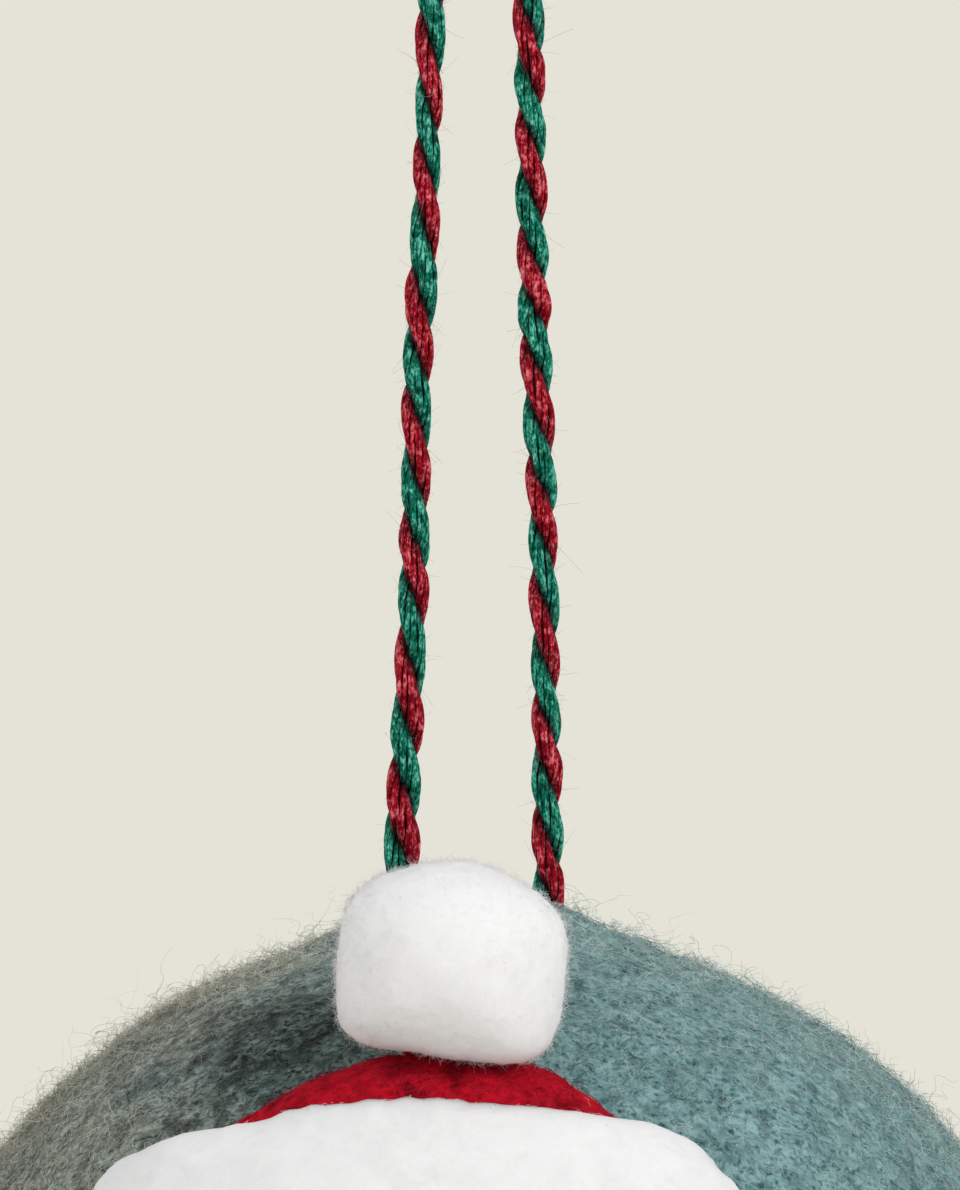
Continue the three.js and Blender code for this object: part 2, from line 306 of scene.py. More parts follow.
def painted_pompom_shadow(tree, place):
    """Where the pompom's shadow is painted into the felt beside it, as darker wool."""
    away = add(tree, "VectorMath", {0: place, 1: POMPOM_SHADOW_PLACE * MM}, operation="DISTANCE")
    patches = add(tree, "TexNoise", {
        "Vector": place, "Scale": POMPOM_SHADOW_SCALE, "Detail": 3.0, "Roughness": 0.6})
    uneven = add(tree, "Math", {
        0: patches.outputs["Fac"], 1: POMPOM_SHADOW_WANDER * MM, 2: away.outputs["Value"]},
        operation="MULTIPLY_ADD")
    near = add(tree, "MapRange", {
        "Value": uneven.outputs[0], "From Min": POMPOM_SHADOW_FULL * MM, "From Max": POMPOM_SHADOW_END * MM,
        "To Min": POMPOM_SHADOW_SHARE, "To Max": 0.0}, interpolation_type="SMOOTHSTEP")
    return near.outputs[0]


# How much finer than a tuft the small holes are, and how much coarser the well-felted patches
FINE_TO_TUFTS = 3.4
WIDE_TO_TUFTS = 0.19
# Curls: sizes in curl_mm, widths of their lines and shifts. Locks: sizes in curl_mm, turns and shifts
CURLS = ((1.3, 0.06, 0.77), (0.8, 0.09, 0.13))
LOCKS = ((2.0, 6, 0.0), (1.2, 5, 0.31))
LOCKS_SHARE = 0.7
# The part of a noise's range over which hollows, small holes and well-felted patches set in
HOLLOW_RANGE = (0.32, 0.6)
HOLE_RANGE = (0.3, 0.52)
FELTED_RANGE = (0.38, 0.6)
FELTED_LEAST = 0.65
# How much of the strands shows over hollows, and over those in the pompom's painted shadow, which are
# deeper and more open
SUNK_SHARE = 0.45
POMPOM_SHADOW_OPENING = -0.06
POMPOM_SHADOW_DEPTH = 0.7
POMPOM_SHADOW_BRIDGED = 0.05
# How high small lumps and strands stand beside a tuft
FINE_HEIGHT = 0.3
STRAND_HEIGHT = 0.22


def wool(name, shades, other_shades=None, tuft_mm=1.5, curl_mm=1.3, depth=0.3, sheen=0.1, glow=0.0,
         reach_mm=2.0, strand_share=0.5, pits=0.5):
    """Matted wool: dark gaps, a middle body and light curly strands, soft all over.

    shades and other_shades are (gap, body, strand). The gap shade, in hollows and small holes, is partly
    the wool's own deeper tone and partly painted shade, as the bump casts none. A wool with other_shades is
    the ball's: it turns to them at its left, and beside the pompom to the pompom's shadow, painted in as
    darker wool. Tufts are about tuft_mm wide, and the strands' curls about curl_mm. depth is the relief in
    millimetres. strand_share is how much of the strands' shade shows, and pits how dark the small holes
    are.
    glow is the share of light that spreads inside pale wool, and reach_mm how far. A real fibre is about
    0.02 mm thick, which is too fine to show in the render, so the strands are drawn as coarse as small
    locks,
    0.1 to 0.2 mm.
    """
    material, tree = blank_material(name)
    place = add(tree, "TexCoord").outputs["Object"]
    tufts = add(tree, "TexNoise", {
        "Vector": place, "Scale": 1000 / tuft_mm, "Detail": 3.0, "Roughness": 0.6, "Distortion": 0.4})
    fine = add(tree, "TexNoise", {
        "Vector": place, "Scale": FINE_TO_TUFTS * 1000 / tuft_mm, "Detail": 1.0, "Roughness": 0.5,
        "Distortion": 0.8})
    crests = [curls(tree, place, curl_mm * size, width, shift) for size, width, shift in CURLS]
    for size, turns, shift in LOCKS:
        lock = locks(tree, place, curl_mm * size, turns, shift)
        crests.append(add(tree, "Math", {0: lock, 1: LOCKS_SHARE}, operation="MULTIPLY").outputs[0])
    strands = crests[0]
    for crest in crests[1:]:
        strands = add(tree, "Math", {0: strands, 1: crest}, operation="MAXIMUM").outputs[0]
    open_wool = tufts.outputs["Fac"]
    # The ball's wool takes the pompom's painted shadow: more open hollows, and the strands hidden in them
    if other_shades:
        dark = painted_pompom_shadow(tree, place)
        open_wool = add(tree, "Math", {0: dark, 1: POMPOM_SHADOW_OPENING, 2: open_wool},
                        operation="MULTIPLY_ADD").outputs[0]
    # Hollows and small holes take the gap shade, which is partly the wool's own deeper tone and partly
    # painted shade, as the bump casts no shadow
    gaps = add(tree, "MapRange", {
        "Value": open_wool, "From Min": HOLLOW_RANGE[0], "From Max": HOLLOW_RANGE[1],
        "To Min": 1.0, "To Max": 0.0}, interpolation_type="SMOOTHSTEP")
    holes = add(tree, "MapRange", {
        "Value": fine.outputs["Fac"], "From Min": HOLE_RANGE[0], "From Max": HOLE_RANGE[1],
        "To Min": pits, "To Max": 0.0})
    wide = add(tree, "TexNoise", {"Vector": place, "Scale": WIDE_TO_TUFTS * 1000 / tuft_mm, "Detail": 2.0})
    felted = add(tree, "MapRange", {
        "Value": wide.outputs["Fac"], "From Min": FELTED_RANGE[0], "From Max": FELTED_RANGE[1],
        "To Min": FELTED_LEAST})
    gaps = add(tree, "Math", {0: gaps.outputs[0], 1: felted.outputs[0]}, operation="MULTIPLY")
    low = add(tree, "Math", {0: gaps.outputs[0], 1: holes.outputs[0]}, operation="MAXIMUM").outputs[0]
    shown = add(tree, "MapRange", {
        "Value": low, "To Min": strand_share, "To Max": SUNK_SHARE * strand_share}).outputs[0]
    if other_shades:
        deep = add(tree, "Math", {0: dark, 1: low}, operation="MULTIPLY").outputs[0]
        bridged = add(tree, "MapRange", {
            "Value": deep, "From Max": POMPOM_SHADOW_DEPTH, "To Min": 1.0, "To Max": POMPOM_SHADOW_BRIDGED})
        shown = add(tree, "Math", {0: shown, 1: bridged.outputs[0]}, operation="MULTIPLY").outputs[0]
    lit = add(tree, "Math", {0: strands, 1: shown}, operation="MULTIPLY").outputs[0]
    parts = [colour(code) for code in shades]
    # Beside the pompom the shades turn to those of the pompom's painted shadow
    if other_shades:
        for where, codes in ((marl(tree, place), other_shades), (dark, POMPOM_SHADOW_SHADES)):
            parts = [add(tree, "Mix", {0: where, 6: part, 7: colour(code)}, data_type="RGBA").outputs[2]
                     for part, code in zip(parts, codes)]
    gap, body, strand = parts
    base = add(tree, "Mix", {0: low, 6: body, 7: gap}, data_type="RGBA").outputs[2]
    base = add(tree, "Mix", {0: lit, 6: base, 7: strand}, data_type="RGBA").outputs[2]
    tall = add(tree, "Math", {0: fine.outputs["Fac"], 1: FINE_HEIGHT, 2: tufts.outputs["Fac"]},
               operation="MULTIPLY_ADD").outputs[0]
    tall = add(tree, "Math", {0: strands, 1: STRAND_HEIGHT, 2: tall},
               operation="MULTIPLY_ADD").outputs[0]
    bump = add(tree, "Bump", {"Strength": 0.6, "Distance": depth * MM, "Height": tall})
    shader = add(tree, "BsdfPrincipled", {
        "Base Color": base,
        "Roughness": 0.95,
        "Specular IOR Level": 0.05,
        "Subsurface Weight": glow,
        "Subsurface Radius": (1.05 * reach_mm * MM, reach_mm * MM, 0.97 * reach_mm * MM),
        "Subsurface Scale": 1.0,
        "Sheen Weight": sheen,
        "Sheen Roughness": 0.5,
        "Normal": bump.outputs["Normal"],
    })
    add(tree, "OutputMaterial", {"Surface": shader.outputs[0]})
    return material


def loose_fibre(name, dark, light, other=None, through=0.4):
    """Single fibres of wool or yarn, each of its own shade, that let some light through."""
    material, tree = blank_material(name)
    tint = add(tree, "Attribute", attribute_name="tint").outputs["Fac"]
    shade = add(tree, "Mix", {0: tint, 6: colour(dark), 7: colour(light)}, data_type="RGBA").outputs[2]
    if other:
        dark, light = (colour(code) for code in other)
        second = add(tree, "Mix", {0: tint, 6: dark, 7: light}, data_type="RGBA").outputs[2]
        place = add(tree, "TexCoord").outputs["Object"]
        share = marl(tree, place)
        shade = add(tree, "Mix", {0: share, 6: shade, 7: second}, data_type="RGBA").outputs[2]
        # Beside the pompom the fibres take the pompom's painted shadow
        in_pompom_shadow = add(tree, "Math", {0: painted_pompom_shadow(tree, place), 1: POMPOM_SHADOW_FIBRE_SHARE}, operation="MULTIPLY")
        shade = add(tree, "Mix", {0: in_pompom_shadow.outputs[0], 6: shade, 7: colour(POMPOM_SHADOW_FIBRE_SHADE)},
                    data_type="RGBA").outputs[2]
    front = add(tree, "BsdfDiffuse", {"Color": shade, "Roughness": 0.5})
    back = add(tree, "BsdfTranslucent", {"Color": shade})
    both = add(tree, "MixShader", {0: through, 1: front.outputs[0], 2: back.outputs[0]})
    add(tree, "OutputMaterial", {"Surface": both.outputs[0]})
    return material


# Wool felted in hot soapy water, grey wool blended into blue-green: a matt mat of curly locks with dark
# little hollows, which looks marled from afar and has a faint sheen at its edges
# Beside the pompom, the pompom's shadow is painted into this wool and its fibres as darker wool
GREEN_FELT = wool("wet_felted_blue_green_wool", ("103A43", "568488", "ABCCC9"),
                  ("050A08", "5F7168", "E2E6D8"), tuft_mm=1.6, depth=0.7, sheen=0.16, strand_share=0.6,
                  pits=0.95)
# The same wool's loose fibres, and its palest: a curly haze, bright where light comes through it
GREEN_FIBRE = loose_fibre("loose_blue_green_wool_fibre", "3A6A6F", "BCDEDE", ("2A2F2A", "E8E6D8"))
PALE_FIBRE = loose_fibre("loose_pale_wool_fibre", "A3BDBB", "F1F7F4", ("A9A799", "FFFCF2"), through=0.5)
# Bleached wool felted with barbed needles: thick and white, with soft shades, as light spreads inside it
WHITE_FELT = wool("needle_felted_white_wool", ("E6E6E6", "ECECEC", "EFEFEF"), depth=0.08, sheen=0.0,
                  glow=0.9, reach_mm=3.5)
# White fibres: the beard's long ones, which show singly, and a down that blurs the edge of a white piece
WHITE_FIBRE = loose_fibre("loose_white_wool_fibre", "ECECEC", "F2F2F2", through=0.4)
WHITE_DOWN = loose_fibre("loose_white_pile_fibre", "F0F0F0", "F6F6F6", through=0.08)
# Dyed wool felted with barbed needles: a full dull red with darker hollows and a few pale strands
RED_FELT = wool("needle_felted_red_wool", ("64020B", "BE0A20", "D02236"), tuft_mm=1.8, depth=0.6,
                sheen=0.0, glow=0.2, reach_mm=2.5, strand_share=0.4)
RED_FIBRE = loose_fibre("loose_red_wool_fibre", "8C0A1A", "D63C54")
# Cut yarn: a close even pile, so white and so open to light that it hardly shades its own shape
POMPOM_PILE = wool("cut_white_yarn_pile", ("ECECEC", "EEEEEE", "F0F0F0"), depth=0.03, sheen=0.0,
                   glow=1.0, reach_mm=5.5)
# A small ball of dyed wool felted hard with barbed needles: matt, firm and finer in its tufts
NOSE_FELT = wool("needle_felted_skin_wool", ("B98269", "D6A58C", "E6C3AE"), tuft_mm=1.2, curl_mm=1.0,
                 glow=0.2)
NOSE_FIBRE = loose_fibre("loose_skin_wool_fibre", "C4917A", "E8C4B0")


# Fibres that lie on a piece and stand off it
def triangles_of(piece):
    """The corner indices of a piece's triangles."""
    mesh = piece.data
    mesh.calc_loop_triangles()
    index = np.empty(len(mesh.loop_triangles) * 3, np.int32)
    mesh.loop_triangles.foreach_get("vertices", index)
    return index.reshape(-1, 3)


def scattered(piece, count, weight=None):
    """Points spread over a piece's faces by area, times weight(points) where it is given."""
    points, index = vertices_of(piece), triangles_of(piece)
    a, b, c = (points[index[:, k]] for k in range(3))
    area = np.linalg.norm(np.cross(b - a, c - a), axis=1)
    if weight is not None:
        area = area * weight((a + b + c) / 3)
    chosen = random.choice(len(area), count, p=area / area.sum())
    u, v = random.random((2, count, 1))
    over = u + v > 1
    u, v = np.where(over, 1 - u, u), np.where(over, 1 - v, v)
    return a[chosen] + u * (b - a)[chosen] + v * (c - a)[chosen]


def surface_of(piece):
    """A piece's surface in millimetres, to find the nearest places on."""
    return BVHTree.FromPolygons(vertices_of(piece).tolist(), triangles_of(piece).tolist())


def nearest(tree, points):
    """The nearest places on a surface, and the surface's normals there."""
    found = [tree.find_nearest(point)[:2] for point in points.reshape(-1, 3).tolist()]
    places = np.array([place for place, _ in found]).reshape(points.shape)
    normals = np.array([normal for _, normal in found]).reshape(points.shape)
    return places, normals


# A loose fibre: how much its way strays, its waves' lengths, how far it is sunk and ripples, in
# millimetres, how much longer its ripples are than its waves, and how much thinner its tip is
STRAY = 0.35
WAVE_LENGTHS = (1.6, 3.2)
ROOT_SINK = 0.05
RIPPLE = 0.08
RIPPLE_TURNS = 1.3
TIP_THINNER = 0.6


def fur(name, piece, material, count, length, thickness, rise, curl, crimp=0.5, steps=7,
        flow=None, weight=None, free=0.0, soft=False):
    """Curly fibres over a piece. Each starts on the surface, wanders along it and rises off it.

    length, thickness and rise are (least, most) in millimetres. curl is how far a fibre turns in all, in
    radians, and crimp the swing of its waves. flow gives the way fibres lie, and free is the share that
    stand off. A soft pile takes the light as the surface under it does and casts no shadow, as fine pile
    seems to. Real fibres are thinner and more than these, too fine to show and too many to draw.
    """
    tree = surface_of(piece)
    roots, normals = nearest(tree, scattered(piece, count, weight))
    helper = unit(random.normal(size=(count, 3)))
    along = helper if flow is None else unit(flow(roots) + STRAY * helper)
    along = unit(along - normals * np.sum(along * normals, axis=1, keepdims=True))
    across = np.cross(normals, along)
    long = random.uniform(*length, size=(count, 1))
    share = np.linspace(0, 1, steps)[None, :]
    turn = random.normal(size=(count, 1)) * curl
    wave = random.uniform(0, 2 * math.pi, size=(count, 1))
    waves = long / random.uniform(*WAVE_LENGTHS, size=(count, 1))
    heading = turn * share + crimp * np.sin(2 * math.pi * waves * share + wave)
    step = long / (steps - 1)
    forward = np.cumsum(np.cos(heading), axis=1) * step
    sideways = np.cumsum(np.sin(heading), axis=1) * step
    flat = (roots[:, None, :] + forward[:, :, None] * along[:, None, :]
            + sideways[:, :, None] * across[:, None, :])
    places, outward = nearest(tree, flat)
    most = random.uniform(*rise, size=(count, 1))
    arch = np.sin(math.pi * share) * most
    stand = share**1.3 * most * 2
    loose = random.random((count, 1)) < free
    ripple = RIPPLE * np.sin(2 * math.pi * waves * share * RIPPLE_TURNS + wave)
    height = np.where(loose, stand, arch) + ripple - ROOT_SINK
    paths = places + outward * height[:, :, None]
    thick = random.uniform(*thickness, size=(count, 1)) / 2
    radii = thick * (1 - TIP_THINNER * share**3)
    hair = tubes(name, paths, radii, 3, material, random.random(count), normals + 0.2 * helper)
    hair.visible_shadow = not soft
    if soft:
        flat_light = np.repeat(unit(normals), steps * 3, axis=0)
        hair.data.normals_split_custom_set_from_vertices(flat_light.tolist())
    return hair


# Cord
def along(line):
    """How far along a line each of its points is."""
    return np.concatenate(([0], np.cumsum(np.linalg.norm(np.diff(line, axis=0), axis=1))))


def sampled(places, reach, table):
    """Each column of a table, read off at places along it."""
    return np.stack([np.interp(places, reach, column) for column in table.T], axis=1)


def spline(points, gap):
    """Evenly spaced points, gap apart, on a smooth curve through the given points."""
    points = np.array(points, float)
    ends = np.vstack([2 * points[0] - points[1], points, 2 * points[-1] - points[-2]])
    t = np.linspace(0, 1, 24, endpoint=False)[:, None]
    runs = []
    for a, b, c, d in zip(ends, ends[1:], ends[2:], ends[3:]):
        runs.append(0.5 * (2 * b + (c - a) * t + (2 * a - 5 * b + 4 * c - d) * t**2
                           + (3 * b - a - 3 * c + d) * t**3))
    dense = np.vstack([*runs, points[-1:]])
    reach = along(dense)
    return sampled(np.linspace(0, reach[-1], int(reach[-1] / gap) + 1), reach, dense)


def loop_points():
    """The loop's whole route, from the left exit over the hook to the right exit."""
    right = [(x, 0, z) for x, z in LOOP_ROUTE + RIGHT_LEG + [(RIGHT_FOOT_X, NOD_Z)]]
    left = [(-x, 0, z) for x, z in LOOP_ROUTE[1:] + LEFT_LEG + [(LEG_FOOT_X, NOD_Z)]]
    return left[::-1] + right


# A ply's distance from the cord's middle, and its strands in bundles round a core. Real floss has scores
# of strands in a ply, too fine to show, so they are drawn as twelve
PLY_OFFSET = 0.41
STRANDS = 12
BUNDLES = 4
PLY_HALF = (0.5, 0.58)
STRAND_RADIUS = 0.155
STRAND_SPACING = 0.44
CORE_RADIUS = 0.42
# How full the cord is twisted along its two legs: heights and shares of its usual thickness
LEFT_FULLNESS = [
    (-61, 1.12), (-55, 1.02), (-48, 0.97), (-38, 0.93), (-27, 0.99), (-17, 0.84), (-8, 0.98),
]
RIGHT_FULLNESS = [
    (-61, 0.98), (-54, 0.9), (-47, 0.92), (-38, 0.97), (-29, 1.02), (-18, 0.95), (-8, 0.97),
]
# How much more the strands turn in a ply than the plies in the cord
COUNTER_TWIST = 0.5
# Lengths along the cord: of a leg, of one turn of the plies, and from each exit to the red ply in front
LEG_LENGTH = 57.5
LEFT_PITCH = 7.98
RIGHT_PITCH = 7.53
ARCH_PITCH = 7.75
LEFT_FRONT = 4.9
RIGHT_FRONT = 1.9


def lay(reach, first, last):
    """The plies' turn along the whole cord. The red ply is in front at set places above each exit."""
    leg = LEG_LENGTH
    left_top = math.pi / 2 - 2 * math.pi * (leg - LEFT_FRONT) / LEFT_PITCH
    arch_turns = (last - first - 2 * leg) / ARCH_PITCH
    right_top = 2 * math.pi * (leg - RIGHT_FRONT) / RIGHT_PITCH + math.pi / 2
    whole = round((left_top - 2 * math.pi * arch_turns - right_top) / (2 * math.pi))
    right_top += 2 * math.pi * whole
    places = [first - leg, first, first + leg, last - leg, last, last + leg]
    slope = 2 * math.pi * leg
    left_foot = left_top + slope / LEFT_PITCH
    right_foot = right_top - slope / RIGHT_PITCH
    turns = [left_foot + slope / LEFT_PITCH, left_foot, left_top, right_top, right_foot,
             right_foot - slope / RIGHT_PITCH]
    uneven = 0.3 * np.sin(reach / 6.7) * np.sin(reach / 3.1 + 1)
    return np.interp(reach, places, turns) + uneven


def plies(line, turn):
    """The strands of a two-ply cord laid along a line: their paths, radii and tints.

    A tint's whole part is the ply and the rest how deep the strand lies in the groove between the plies,
    the
    core deepest: the deeper, the more painted shade the strand takes.
    """
    reach = along(line)
    tangent = unit(np.gradient(line, axis=0))
    inward = unit(np.cross(np.array([0.0, -1.0, 0.0]), tangent))
    across = np.cross(tangent, inward)
    left, right = (np.interp(line[:, 2], *zip(*table)) for table in (LEFT_FULLNESS, RIGHT_FULLNESS))
    full = np.where(line[:, 0] < 0, left, right)[:, None]
    paths, radii, tints = [], [], []
    for ply in (0, 1):
        around = (turn + ply * math.pi)[:, None]
        out = np.cos(around) * inward + np.sin(around) * across
        side = np.cross(tangent, out)
        centre = line + PLY_OFFSET * out * full
        for strand in range(STRANDS + 1):
            core = strand == STRANDS
            bundle, place = divmod(strand, STRANDS // BUNDLES)
            beside = place - (STRANDS // BUNDLES - 1) / 2
            spin = bundle * 2 * math.pi / BUNDLES + STRAND_SPACING * beside
            spin = spin - (1 + COUNTER_TWIST) * turn + ply
            spin = (spin + 0.14 * np.sin(reach * 0.8 + strand * 2.7))[:, None]
            wander = np.sin(reach * 0.7 + strand * 2.1) + 0.6 * np.sin(reach * 1.9 + strand * 3.3)
            ring = 0 if core else full * (1.04 - 0.12 * abs(beside) + 0.07 * wander[:, None])
            oval = PLY_HALF[0] * np.cos(spin) * out + PLY_HALF[1] * np.sin(spin) * side
            paths.append(centre + ring * oval)
            swelling = 1 + 0.16 * np.sin(reach * 1.1 + strand * 1.7)
            thick = CORE_RADIUS if core else STRAND_RADIUS * swelling
            radii.append(thick * full[:, 0])
            # Painted shade: strands turned into the groove between the plies, and the core, are darkened as
            # shade falls there
            deep = 1 if core else np.clip(0.45 - 0.75 * np.cos(spin[:, 0]), 0, 1)
            tints.append(np.broadcast_to(ply + 0.9 * deep, reach.shape))
    return np.array(paths), np.array(radii), np.array(tints)


# The floss's grain and its blotches, in millimetres: they vary its tone at random and place its painted
# glints. Its fibres are about 0.015 mm thick, too fine to show, so the grain is drawn eight times as coarse
GRAIN_MM = 0.125
BLOTCH_MM = 0.625
# Each dye where it is deep and full, varying at random, and pale where a painted glint stands for fibres
# catching the light; then the painted shade of both in the grooves between strands and plies, and on the
# cores
CORD_REDS = ("5C0010", "BE0824", "F08E9A")
CORD_GREENS = ("003226", "0A9A7C", "8EDCCB")
CORD_PAINTED_GROOVE_SHADES = ("2C0006", "001510")


def cord_material():
    """Dyed cotton floss, twisted: pale flecks are painted glints, as of its fibres catching the light, and
    the grooves between strands and plies, and the cores, are darkened with painted shade."""
    material, tree = blank_material("dyed_cotton_floss")
    place = add(tree, "TexCoord").outputs["Object"]
    tint = add(tree, "Attribute", attribute_name="tint").outputs["Fac"]
    stretched = add(tree, "Mapping", {"Vector": place, "Scale": (1, 1, 0.35)}).outputs[0]
    fine = add(tree, "TexNoise", {
        "Vector": stretched, "Scale": 1000 / GRAIN_MM, "Detail": 2.0, "Roughness": 0.6})
    blotches = add(tree, "TexNoise", {
        "Vector": place, "Scale": 1000 / BLOTCH_MM, "Detail": 3.0, "Roughness": 0.65})
    both = add(tree, "Math", {0: fine.outputs["Fac"], 1: blotches.outputs["Fac"]}, operation="ADD").outputs[0]
    spread = add(tree, "MapRange", {"Value": both, "From Min": 0.8, "From Max": 1.15}).outputs[0]
    # Painted glints: pale flecks where the floss's fibres would catch the light
    painted_glint = add(tree, "MapRange", {
        "Value": both, "From Min": 1.02, "From Max": 1.28, "To Max": 0.8}).outputs[0]
    dyes = []
    for deep, full, pale in (CORD_REDS, CORD_GREENS):
        dye = add(tree, "Mix", {0: spread, 6: colour(deep), 7: colour(full)}, data_type="RGBA").outputs[2]
        dyes.append(add(tree, "Mix", {0: painted_glint, 6: dye, 7: colour(pale)}, data_type="RGBA").outputs[2])
    ply = add(tree, "Math", {0: tint, 1: 0.95}, operation="GREATER_THAN").outputs[0]
    # How deep a strand lies, which sets its painted groove shade
    core = add(tree, "Math", {0: tint, 1: 1.0}, operation="MODULO").outputs[0]
    painted_groove_shade = add(tree, "MapRange", {"Value": core, "From Min": 0.1, "From Max": 0.85}).outputs[0]
    dyed = add(tree, "Mix", {0: ply, 6: dyes[0], 7: dyes[1]}, data_type="RGBA").outputs[2]
    red, green = (colour(code) for code in CORD_PAINTED_GROOVE_SHADES)
    dark = add(tree, "Mix", {0: ply, 6: red, 7: green}, data_type="RGBA").outputs[2]
    shade = add(tree, "Mix", {0: painted_groove_shade, 6: dyed, 7: dark}, data_type="RGBA").outputs[2]
    bump = add(tree, "Bump", {"Strength": 0.6, "Distance": 0.05 * MM, "Height": fine.outputs["Fac"]})
    shader = add(tree, "BsdfPrincipled", {
        "Base Color": shade,
        "Roughness": 0.6,
        "Specular IOR Level": 0.08,
        "Normal": bump.outputs["Normal"],
    })
    add(tree, "OutputMaterial", {"Surface": shader.outputs[0]})
    return material


CORD_COTTON = cord_material()
# Stray cotton fibres: a short pale fuzz in each ply's colour
RED_FLOSS = loose_fibre("loose_red_cotton_fibre", "B02840", "E8A0AA", through=0.5)
GREEN_FLOSS = loose_fibre("loose_green_cotton_fibre", "1F8A72", "9AD8CA", through=0.5)
# The spacing of the cord's points, and how far its ends show above the loop's foot
CORD_STEP = 0.34
TAIL_RISE = 1.2
# The felt's thickness, its gap to the core, and the knot's depth in the core and half width, as in the
# part's source
FELT_THICKNESS = 5.5
CORE_GAP = 0.6
KNOT_DEPTH = 4
KNOT_HALF = 2.9


def tail_points(side):
    """A cord end's way from the knot under the felt up to the loop's foot."""
    core_radius = BALL_RADIUS - FELT_THICKNESS - CORE_GAP
    knot_z = BALL_CENTRE_Z + core_radius - KNOT_DEPTH
    knot_face = side * KNOT_HALF
    x = side * LEG_FOOT_X
    top = -LEG_FOOT_X if side < 0 else RIGHT_FOOT_X + 0.1
    return [
        (knot_face, 0, knot_z), (knot_face + side * 0.55, 0, knot_z + 0.1),
        (x - side * 0.55, 0, knot_z + 1), (x, 0, knot_z + 3.2), ((x + top) / 2, 0, NOD_Z - 4),
        (top, 0, NOD_Z - 1.2),
    ]


def strand_tubes(name, paths, radii, tints):
    references = np.tile(np.array([0.02, 1.0, 0.03]), (len(paths), 1))
    return tubes(name, paths, radii, 6, CORD_COTTON, tints, references)


def loose_floss(name, line, count, material):
    """Short stray fibres that stand off the cord."""
    reach = along(line)
    at = random.uniform(0, reach[-1], count)
    roots = sampled(at, reach, line)
    tangent = sampled(at, reach, unit(np.gradient(line, axis=0)))
    outward = unit(np.cross(unit(random.normal(size=(count, 3))), tangent))
    steps = 5
    share = np.linspace(0, 1, steps)[None, :, None]
    long = 0.15 + 1.3 * random.random((count, 1, 1)) ** 3
    swing = random.normal(size=(count, 1, 3)) * 0.8
    lean = tangent[:, None, :] * random.uniform(-1, 1, size=(count, 1, 1))
    paths = (roots[:, None, :] + outward[:, None, :] * (0.72 + 0.6 * long * share)
             + lean * long * share + swing * long * 0.6 * share**2)
    thick = random.uniform(0.007, 0.012, size=(count, 1)) * (1 - 0.5 * share[:, :, 0])
    return tubes(name, paths, thick, 3, material, random.random(count), outward + 0.1 * swing[:, 0])


def make_cord():
    loop = loop_points()
    left, right = tail_points(-1), tail_points(1)
    line = spline(left + loop + right[::-1], CORD_STEP)
    reach = along(line)
    height = line[:, 2]
    middle = int(np.argmax(height))
    first = int(np.argmin(np.abs(height[:middle] - NOD_Z)))
    last = middle + int(np.argmin(np.abs(height[middle:] - NOD_Z)))
    cut = round(TAIL_RISE / CORD_STEP)
    paths, radii, tints = plies(line, lay(reach, reach[first], reach[last]))
    free = slice(first + cut, last - cut + 1)
    cord = strand_tubes("hanging_cord", paths[:, free], radii[:, free], tints[:, free])
    fuzz = [loose_floss("loose_red_floss", line[free], 1000, RED_FLOSS),
            loose_floss("loose_green_floss", line[free], 1000, GREEN_FLOSS)]
    for piece in [cord] + fuzz:
        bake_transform(piece)
    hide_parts("cord_arch", "cord_leg_left", "cord_leg_right")
    tails = {"cord_tail_left": slice(0, first + cut + 1), "cord_tail_right": slice(last - cut, None)}
    for name, part in tails.items():
        tail = strand_tubes(name, paths[:, part], radii[:, part], tints[:, part])
        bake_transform(tail)
        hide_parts(name.replace("tail", "end"))


make_cord()


# How pieces belong to the part
def dress(piece, node, body):
    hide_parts(node)
    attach(piece, body)


def hair_on(hair, body):
    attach(hair, body)


# Ball
def rounded_cube(name, cuts):
    """A cube cut fine and blown up to a ball of radius 1."""
    bpy.ops.mesh.primitive_cube_add(size=2)
    bpy.ops.object.mode_set(mode="EDIT")
    bpy.ops.mesh.select_all(action="SELECT")
    bpy.ops.mesh.subdivide(number_cuts=cuts)
    bpy.ops.object.mode_set(mode="OBJECT")
    piece = take_new(name)
    set_vertices(piece, unit(np.tan(vertices_of(piece) * MM * math.pi / 4)))
    return piece


# Lumps of the felt as (depth, size, seed), and how far under the ball's radius its mean is
FELT_LUMPS = ((0.22, 11, 1), (0.16, 5, 2), (0.13, 2.4, 3), (0.09, 1.3, 4))
FELT_UNDER = 0.25
# How wide the felt is pulled up round the cord, and the height and width of the collar that hugs it
PULL_WIDTH = 4.2
COLLAR_HEIGHT = 0.7
COLLAR_WIDTH = 1.3


def felt_radius(units):
    """How far the felt reaches from the ball's centre: lumpy, and pulled up where the cord comes out."""
    radius = np.full(len(units), BALL_RADIUS - FELT_UNDER)
    lift = np.zeros(len(units))
    collar = np.zeros(len(units))
    for side in (-1, 1):
        exit_point = np.array([side * LEG_FOOT_X, -BALL_SETBACK, EXIT_Z])
        away = np.linalg.norm(units * BALL_RADIUS - exit_point, axis=1)
        lift += PULL_UP * np.exp(-0.5 * (away / PULL_WIDTH) ** 2)
        flat = np.linalg.norm((units * BALL_RADIUS - exit_point)[:, :2], axis=1)
        hug = COLLAR_HEIGHT * np.exp(-0.5 * (flat / COLLAR_WIDTH) ** 2)
        collar += np.where(units[:, 2] > 0, hug, 0)
    radius += np.minimum(lift, PULL_UP) + collar
    return radius + lumpy(units * BALL_RADIUS, FELT_LUMPS)


